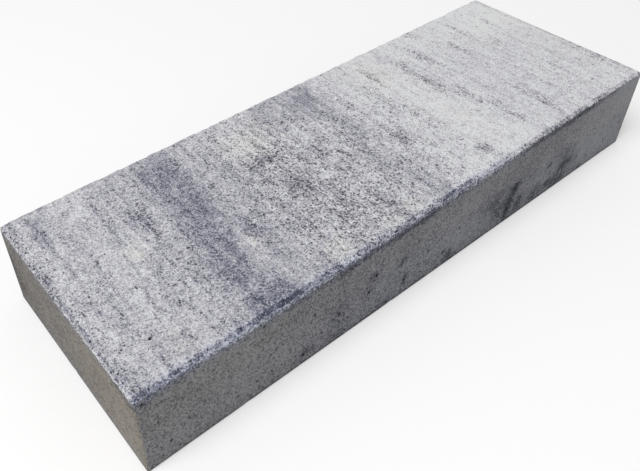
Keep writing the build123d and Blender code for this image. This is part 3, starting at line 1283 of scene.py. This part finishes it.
def make_core(colours, facing, effects):
    """Finish of the sides and the bed: plain concrete with sand, pores, smears and facing under the lip, with
    painted shadow under the lip, painted shade along the foot and painted shade in the pores and pits.
    """
    material, tree, shader, place = new_finish("Pressed concrete", CORE_ROUGHNESS)
    smear_and_shade = surface_value(tree, SMEAR_AND_SHADE)
    warmth = surface_value(tree, WARMTH)
    mottle = soft_noise(tree, place, *CORE_MOTTLE)
    blots = soft_noise(tree, place, *CORE_BLOTS)
    fine = soft_noise(tree, place, *CORE_FINE)
    drags = effects.lines(tree, place, *DRAGS)
    density = total(tree, (blots, 0.35), (smear_and_shade, 0.34), (1.0, 0.06))
    grains = effects.grains(tree, place, CORE_GRAIN_SIZE, density)
    along = add_node(tree, "ShaderNodeSeparateXYZ", None, {0: place}).outputs["X"]
    lively = calc(tree, "MULTIPLY_ADD", rise(tree, along, CALM_FROM, CALM_TO), CALM_LOSS, 1.0)
    grit = calc(tree, "MULTIPLY", total(tree, (fine, 1.64), (grains["Shade"], 0.84)), lively)
    stir = total(tree, (mottle, 0.50), (drags, 0.30), (blots, 0.48), (grit, 1.0))
    # Smears break into flecks, and so do the painted shadow under the lip and the painted shade along the
    # foot
    broken = total(tree, (blots, 4.5), (drags, 3.5), (fine, 6.0), (1.0, 1.1))
    flecks = rise(tree, calc(tree, "MULTIPLY", smear_and_shade, broken), 0.30, 0.95)
    paler = calc(tree, "MINIMUM", smear_and_shade, 0.0)
    darker = calc(tree, "MAXIMUM", smear_and_shade, 0.0)
    shade = total(tree, (paler, 0.66), (darker, 0.32), (flecks, 0.42), (stir, 1.0), (1.0, 1 / 3))
    colour = shade_colour(tree, shade, (colours.pale, colours.grey, colours.smear_and_shade, colours.soot_and_shade))

    teeth = effects.lines(tree, place, *LIP_TEETH)
    specks = effects.grains(tree, place, *LIP_SPECKS)
    facing_share = calc(tree, "MULTIPLY", facing_reach(tree, place, effects), 0.95)
    band_shade = total(tree, (stir, 2.2), (teeth, 4.8), (smear_and_shade, 0.30), (1.0, 0.50))
    band = shade_colour(tree, band_shade, (facing.pale, facing.light, facing.hazy, facing.dark))
    band = mix_colour(tree, calc(tree, "MULTIPLY", specks["Dark"], 0.8), band, facing.grain)
    colour = mix_colour(tree, facing_share, colour, band)
    colour = mix_colour(tree, calc(tree, "MULTIPLY", grains["Dark"], 0.85), colour, colours.soot_and_shade)
    colour = mix_colour(tree, calc(tree, "MULTIPLY", grains["Pale"], 0.35), colour, colours.pale)
    colour = tinted(tree, warmth, colour, colours.warm)
    colour = tinted(tree, surface_value(tree, COOL), colour, facing.cool)
    # Painted shade in the pores and in the pits
    holes = effects.holes(tree, place, *CORE_PORES)
    sunk_shade = calc(tree, "MAXIMUM", calc(tree, "MULTIPLY", holes, 0.8), surface_value(tree, HOLLOW_SHADE))
    colour = mix_colour(tree, sunk_shade, colour, colours.pore_shade)
    tree.links.new(colour, shader.inputs["Base Color"])

    height = total(tree, (grains["Height"], 0.25), (fine, 0.6), (drags, 0.4), (holes, -1.0))
    add_bump(tree, shader, height, CORE_BUMP)
    return material


class BLOCKSTEP_OT_make_block(bpy.types.Operator):
    """Makes the concrete block with its pressed tread and both its finishes"""

    bl_idname = "block_step.make_block"
    bl_label = "Make Block"

    def execute(self, context):
        settings = context.scene.block_step
        effects = Effects()
        facing = make_facing(settings.facing, settings.core.pore_shade, effects)
        core = make_core(settings.core, settings.facing, effects)
        block = finished_object(block_mesh(settings.shape), settings.shape, (facing, core))
        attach(block, "root")
        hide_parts("block_step")
        return {"FINISHED"}


# Stage: the floor reaches far and lies just below the bed, and the lamp is a large disk on the upper left
WHITE = (1.0, 1.0, 1.0, 1.0)
FLOOR_REACH = 30.0
FLOOR_LEVEL = -0.2 * MM
LAMP_SIZE = 5.0
LAMP_SIDE = Vector((-0.50, -0.12, 0.86))
LAMP_DISTANCE = 8.0


def add_floor(settings):
    """Adds the white floor. It takes the block's shadow, and the camera sees it as white."""
    corners = ((-1, -1), (1, -1), (1, 1), (-1, 1))
    mesh = bpy.data.meshes.new("studio_floor")
    points = [(x * FLOOR_REACH, y * FLOOR_REACH, FLOOR_LEVEL) for x, y in corners]
    mesh.from_pydata(points, [], [range(len(points))])
    material, tree, shader, _ = new_finish("Studio floor", FLOOR_ROUGHNESS)
    shader.inputs["Base Color"].default_value = settings.floor
    seen = add_node(tree, "ShaderNodeLightPath").outputs
    shown = calc(tree, "MAXIMUM", seen["Is Camera Ray"], seen["Is Glossy Ray"])
    shown = calc(tree, "MAXIMUM", shown, seen["Is Transmission Ray"])
    shader.inputs["Emission Color"].default_value = WHITE
    tree.links.new(calc(tree, "MULTIPLY", shown, settings.floor_lift), shader.inputs["Emission Strength"])
    mesh.materials.append(material)
    floor = bpy.data.objects.new("studio_floor", mesh)
    bpy.context.scene.collection.objects.link(floor)


def add_light(settings):
    """Adds the even light all round and the large soft lamp on the upper left."""
    world = bpy.data.worlds.new("Studio light")
    world.use_nodes = True
    sky = world.node_tree.nodes["Background"]
    sky.inputs["Color"].default_value = WHITE
    sky.inputs["Strength"].default_value = settings.sky
    bpy.context.scene.world = world
    lamp = bpy.data.lights.new("Key", "AREA")
    lamp.shape = "DISK"
    lamp.size = LAMP_SIZE
    lamp.energy = settings.key
    key = bpy.data.objects.new("Key", lamp)
    key.location = LAMP_SIDE.normalized() * LAMP_DISTANCE
    key.rotation_euler = (-key.location).to_track_quat("-Z", "Y").to_euler()
    bpy.context.scene.collection.objects.link(key)


def add_camera():
    """Adds the camera, with its roll and its lens shift."""
    lens = bpy.data.cameras.new("Camera")
    lens.sensor_fit = "HORIZONTAL"
    lens.sensor_width = SENSOR_WIDTH
    lens.lens = FOCAL_PIXELS * SENSOR_WIDTH / PICTURE_WIDTH
    lens.shift_x = (PICTURE_WIDTH / 2 - AXIS_PIXEL[0]) / PICTURE_WIDTH
    lens.shift_y = (AXIS_PIXEL[1] - PICTURE_HEIGHT / 2) / PICTURE_WIDTH
    camera = bpy.data.objects.new("Camera", lens)
    camera.location = CAMERA_PLACE
    aim = (CAMERA_AIM - CAMERA_PLACE).to_track_quat("-Z", "Y")
    camera.rotation_euler = (aim @ Quaternion((0.0, 0.0, 1.0), CAMERA_ROLL)).to_euler()
    bpy.context.scene.collection.objects.link(camera)
    bpy.context.scene.camera = camera


class BLOCKSTEP_OT_make_stage(bpy.types.Operator):
    """Makes the plain studio: white floor, soft light and the camera"""

    bl_idname = "block_step.make_stage"
    bl_label = "Make Stage"

    def execute(self, context):
        settings = context.scene.block_step.stage
        add_floor(settings)
        add_light(settings)
        add_camera()
        context.scene.view_settings.view_transform = "Standard"
        return {"FINISHED"}


class BLOCKSTEP_PT_sidebar(bpy.types.Panel):
    """Lists what the add-on makes, and the sizes and colours it uses"""

    bl_idname = "BLOCKSTEP_PT_sidebar"
    bl_label = "Block Step"
    bl_space_type = "VIEW_3D"
    bl_region_type = "UI"
    bl_category = "Block Step"

    def draw(self, context):
        settings = context.scene.block_step
        for group in (settings.shape, settings.facing, settings.core, settings.stage):
            column = self.layout.column(align=True)
            for name in group.__annotations__:
                column.prop(group, name)
        self.layout.operator(BLOCKSTEP_OT_make_block.bl_idname)
        self.layout.operator(BLOCKSTEP_OT_make_stage.bl_idname)


CLASSES = (
    BlockShape,
    FacingColours,
    CoreColours,
    StageSettings,
    BlockStepSettings,
    BLOCKSTEP_OT_make_block,
    BLOCKSTEP_OT_make_stage,
    BLOCKSTEP_PT_sidebar,
)


def register():
    """Makes the settings, operators and panel known to Blender."""
    for part in CLASSES:
        bpy.utils.register_class(part)
    bpy.types.Scene.block_step = PointerProperty(type=BlockStepSettings)


def unregister():
    """Takes the settings, operators and panel away again."""
    del bpy.types.Scene.block_step
    for part in reversed(CLASSES):
        bpy.utils.unregister_class(part)


def main():
    """Registers the add-on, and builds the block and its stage."""
    register()
    bpy.ops.block_step.make_block()
    bpy.ops.block_step.make_stage()


if __name__ == "__main__":
    main()
